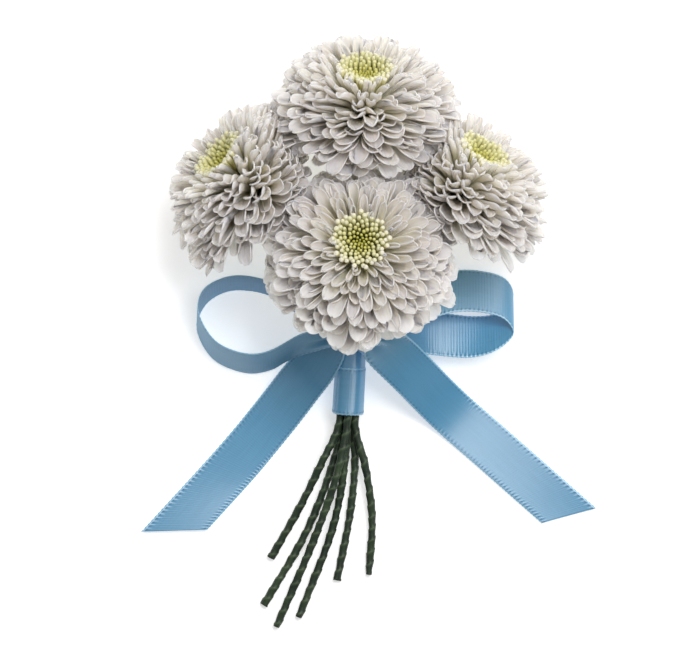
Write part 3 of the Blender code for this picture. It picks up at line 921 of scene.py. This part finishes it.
handleShape = {
    "turns": 2.9,
    "dropFrom": 1.2,  # where the winding comes down to the lower edge, in half turns
    "dropOver": 3.2,
    "inner": 3.12 * mm,
    "perTurn": 0.14 * mm,
    "dent": 0.07 * mm,  # the wires show faintly through the ribbon
    "dents": 5,
    "flare": 0.10 * mm,  # the lower edge stands out a little
    "step": 0.2 * mm,
    "ribs": 0.1,
}


def handleAxis(node):
    points = nodePoints(node)
    low = points[points[:, 1] < points[:, 1].mean()].mean(axis=0)
    high = points[points[:, 1] >= points[:, 1].mean()].mean(axis=0)
    along = high - low
    length = np.linalg.norm(along)
    along = along / length
    right = np.cross(along, (0, 0, 1))
    right /= np.linalg.norm(right)
    return low, along, right, np.cross(right, along), length


def makeHandle(material):
    shape = handleShape
    low, along, right, up, length = handleAxis("handle_wrap")
    climb = length - ribbonShape["width"]
    total = shape["turns"] * 2 * math.pi
    rows = int(total * shape["inner"] / shape["step"])
    columns = ribbonShape["columns"]
    grid = np.zeros((rows + 1, columns + 1, 3))
    for i in range(rows + 1):
        angle = total * i / rows
        dropped = easeIn(angle / math.pi, shape["dropFrom"], shape["dropFrom"] + shape["dropOver"])
        radius = shape["inner"] + shape["perTurn"] * angle / (2 * math.pi)
        radius += shape["dent"] * math.cos(shape["dents"] * angle)
        way = -up * math.cos(angle) - right * math.sin(angle)
        for j in range(columns + 1):
            v = j / columns
            out = radius + shape["flare"] * (1 - v)
            grid[i, j] = low + along * (climb * (1 - dropped) + v * ribbonShape["width"]) + way * out
    ribbonCloth("handleRibbon", grid, ["handle_wrap"], material, ribs=shape["ribs"])


bandShape = {
    "rows": 160,
    "columns": 32,
    "turns": 1.04,
    "inner": 4.05 * mm,
    "overlap": 0.10 * mm,  # its end lies on its start
    "pleats": 4,
    "pleat": 0.26 * mm,
}


def makeTieBand(material):
    shape = bandShape
    low, along, right, up, length = handleAxis("bow_tie_band")
    rows, columns = shape["rows"], shape["columns"]
    grid = np.zeros((rows + 1, columns + 1, 3))
    for i in range(rows + 1):
        angle = 2 * math.pi * shape["turns"] * i / rows
        way = -up * math.cos(angle) - right * math.sin(angle)
        for j in range(columns + 1):
            v = j / columns
            pleat = shape["pleat"] * math.sin(v * 2 * math.pi * shape["pleats"] + 0.5 * math.sin(3 * angle))
            out = shape["inner"] + pleat + shape["overlap"] * i / rows
            grid[i, j] = low + along * (v * length) + way * out
    ribbonCloth("bowTieBand", grid, ["bow_tie_band"], material,
                ribs=0.0, tucked=True)


knotShape = {
    "rows": 150,
    "columns": 36,
    "turns": 1.03,
    "squareness": 3,  # 2 is round
    "inset": 0.3 * mm,
    "pleats": 4.5,
    "pleat": 0.22 * mm,
    "endsLower": 0.10,
    "bulge": 0.08,
}


def makeKnot(material):
    # the turn of ribbon over the middle of the bow, gathered into pleats
    shape = knotShape
    low, high = (Vector(corner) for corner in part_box("bow_knot"))
    centre, size = (low + high) / 2, high - low
    rows, columns, power = shape["rows"], shape["columns"], shape["squareness"]
    grid = np.zeros((rows + 1, columns + 1, 3))
    for i in range(rows + 1):
        angle = -math.pi / 2 + 2 * math.pi * shape["turns"] * i / rows
        c, s = math.cos(angle), math.sin(angle)
        squarer = (abs(c) ** power + abs(s) ** power) ** (-1 / power)
        for j in range(columns + 1):
            v = j / columns * 2 - 1
            pleat = shape["pleat"] * math.sin(v * shape["pleats"] * math.pi + 0.6 * math.sin(2 * angle))
            waist = squarer * (1 - shape["endsLower"] * v * v)
            y = (size.y / 2 - shape["inset"]) * c * waist + pleat * c
            z = (size.z / 2 - shape["inset"]) * s * waist + pleat * s
            x = v * size.x / 2 * (1 - shape["bulge"] * s**2)
            grid[i, j] = (centre.x + x, centre.y + y, centre.z + z)
    ribbonCloth("bowKnot", grid, ["bow_knot"], material,
                ribs=0.0, tucked=True)


# Ribbon finish: double-faced polyester satin. Long floats of filament lie along the ribbon, so it
# shines in broad soft bands across its length; the woven edge is painted paler, a painted highlight, with
# painted shade in the hollows between its beads.
def satinMaterial():
    material, tree, shader = newMaterial("polyesterSatinRibbon")
    uv = addNode(tree, "ShaderNodeUVMap", {"uv_map": "UVMap"})
    split = addNode(tree, "ShaderNodeSeparateXYZ", links={"Vector": uv.outputs["UV"]})
    # distance from the middle line, in millimetres: the edge starts at 5.05, the row of beads is at 4.92
    halfWidth = ribbonShape["width"] / mm / 2
    fromMiddle = addNode(tree, "ShaderNodeMath", {"operation": "SUBTRACT"}, {1: halfWidth},
                         {0: split.outputs["X"]})
    distance = addNode(tree, "ShaderNodeMath", {"operation": "ABSOLUTE"},
                       links={0: fromMiddle.outputs["Value"]})
    # the woven edge is painted paler: a painted highlight on its raised rim
    edge = addNode(tree, "ShaderNodeMapRange", {}, {"From Min": 5.05, "From Max": 5.25},
                   {"Value": distance.outputs["Value"]})
    # the hollows between the edge's beads are painted darker: painted shade
    row = addNode(tree, "ShaderNodeMath", {"operation": "COMPARE"}, {1: 4.92, 2: 0.20},
                  {0: distance.outputs["Value"]})
    beatAngle = addNode(tree, "ShaderNodeMath", {"operation": "MULTIPLY"}, {1: 2 * math.pi},
                        {0: split.outputs["Y"]})
    beat = addNode(tree, "ShaderNodeMath", {"operation": "SINE"}, links={0: beatAngle.outputs["Value"]})
    beads = addNode(tree, "ShaderNodeMapRange", {}, {"From Min": 0.25, "From Max": -0.5},
                    {"Value": beat.outputs["Value"]})
    beadShadeMask = addNode(tree, "ShaderNodeMath", {"operation": "MULTIPLY"},
                   links={0: row.outputs["Value"], 1: beads.outputs["Result"]})
    stretched = addNode(tree, "ShaderNodeMapping", {}, {"Scale": (2.2, 0.12, 1.0)},
                        {"Vector": uv.outputs["UV"]})
    streaks = addNode(tree, "ShaderNodeTexNoise", {}, {"Scale": 1.0, "Detail": 3.0},
                      {"Vector": stretched.outputs["Vector"]})
    body = addNode(tree, "ShaderNodeValToRGB", links={"Fac": streaks.outputs["Fac"]})
    fillRamp(body, ((0.3, "#4492BC"), (0.7, "#4C9AC4")))
    edgeHighlighted = addNode(tree, "ShaderNodeMix", {"data_type": "RGBA"}, {"B": toLinear("#8CC8E8")},
                      {"A": body.outputs["Color"], "Factor": edge.outputs["Result"]})
    beadShadeShare = addNode(tree, "ShaderNodeMath", {"operation": "MULTIPLY"}, {1: 0.85},
                       {0: beadShadeMask.outputs["Value"]})
    beadShaded = addNode(tree, "ShaderNodeMix", {"data_type": "RGBA"}, {"B": toLinear("#23719F")},
                     {"A": edgeHighlighted.outputs["Result"], "Factor": beadShadeShare.outputs["Value"]})
    # weft threads every 0.25 mm, drawn at 0.5 mm so that they show
    weftAngle = addNode(tree, "ShaderNodeMath", {"operation": "MULTIPLY"}, {1: 4 * math.pi},
                        {0: split.outputs["Y"]})
    weft = addNode(tree, "ShaderNodeMath", {"operation": "SINE"}, links={0: weftAngle.outputs["Value"]})
    bump = addNode(tree, "ShaderNodeBump", {}, {"Strength": 0.06, "Distance": 0.05 * mm},
                   {"Height": weft.outputs["Value"]})
    tangent = addNode(tree, "ShaderNodeTangent", {"direction_type": "UV_MAP", "uv_map": "UVMap"})
    fillInputs(tree, shader, {
        "Roughness": 0.45,
        "IOR": 1.9,
        "Specular IOR Level": 1.0,
        "Anisotropic": 0.86,
    }, {"Base Color": beadShaded.outputs["Result"], "Normal": bump.outputs["Normal"],
        "Tangent": tangent.outputs["Tangent"]})
    return material


def makeRibbons():
    satin = satinMaterial()
    for side in ("left", "right"):
        makeTail(side, satin)
        makeLoop(side, satin)
    makeHandle(satin)
    makeTieBand(satin)
    makeKnot(satin)
    print("ribbons made")


# Table, light and camera

studio = {
    "floor": "#F7F7F7",
    "floorSize": 3.0,
    "lens": 300.0,
    "sensor": 36.0,
    "frameWidth": 163.3 * mm,  # how much of the table the camera takes in
    "aimX": -4.4 * mm,
    "aimY": -0.5 * mm,
    # softboxes: where each stands, its two widths and its watts
    "lights": (((0.25, 0.23, 0.72), (0.50, 0.36), 3.2), ((0.03, 0.40, 0.67), (0.26, 0.26), 1.2)),
    # the room round them: dim at the sides, brightest over the table and a little behind it
    "roomDim": 0.13,
    "roomBright": 0.54,
    "brightest": (0.15, 0.38, 0.91),
    "floorGlow": 0.46,
}


def makeStudio():
    bm = bmesh.new()
    bmesh.ops.create_grid(bm, x_segments=1, y_segments=1, size=studio["floorSize"])
    mesh = bpy.data.meshes.new("table")
    bm.to_mesh(mesh)
    bm.free()
    floor = bpy.data.objects.new("table", mesh)
    bpy.context.scene.collection.objects.link(floor)
    material, tree, shader = newMaterial("paleTable")
    fillInputs(tree, shader, {
        "Base Color": toLinear(studio["floor"]),
        "Roughness": 0.9,
        "Specular IOR Level": 0.1,
        "Emission Color": (1.0, 1.0, 1.0, 1.0),
        "Emission Strength": studio["floorGlow"],
    })
    mesh.materials.append(material)

    world = bpy.data.worlds.new("studio")
    world.use_nodes = True
    tree = world.node_tree
    way = addNode(tree, "ShaderNodeTexCoord")
    facing = addNode(tree, "ShaderNodeVectorMath", {"operation": "DOT_PRODUCT"}, {1: studio["brightest"]},
                     {0: way.outputs["Generated"]})
    strength = addNode(tree, "ShaderNodeMapRange", {"interpolation_type": "SMOOTHSTEP"},
                       {"From Min": 0.1, "From Max": 1.0,
                        "To Min": studio["roomDim"], "To Max": studio["roomBright"]},
                       {"Value": facing.outputs["Value"]})
    fillInputs(tree, tree.nodes["Background"], {"Color": (1.0, 1.0, 1.0, 1.0)},
               {"Strength": strength.outputs["Result"]})
    bpy.context.scene.world = world

    for place, size, watts in studio["lights"]:
        lamp = bpy.data.lights.new("softbox", "AREA")
        lamp.shape = "ELLIPSE"
        lamp.size, lamp.size_y = size
        lamp.energy = watts
        box = bpy.data.objects.new("softbox", lamp)
        box.location = place
        box.rotation_euler = Vector(place).to_track_quat("Z", "Y").to_euler()
        bpy.context.scene.collection.objects.link(box)

    camera = bpy.data.cameras.new("camera")
    camera.lens = studio["lens"]
    camera.sensor_width = studio["sensor"]
    eye = bpy.data.objects.new("camera", camera)
    low, high = cadBox
    middle = (low + high) / 2
    eye.location = (middle.x + studio["aimX"], middle.y + studio["aimY"],
                    studio["frameWidth"] * studio["lens"] / studio["sensor"])
    bpy.context.scene.collection.objects.link(eye)
    bpy.context.scene.camera = eye
    bpy.context.scene.view_settings.view_transform = "Standard"


makeStudio()
makeBlooms()
makeWires()
makeRibbons()
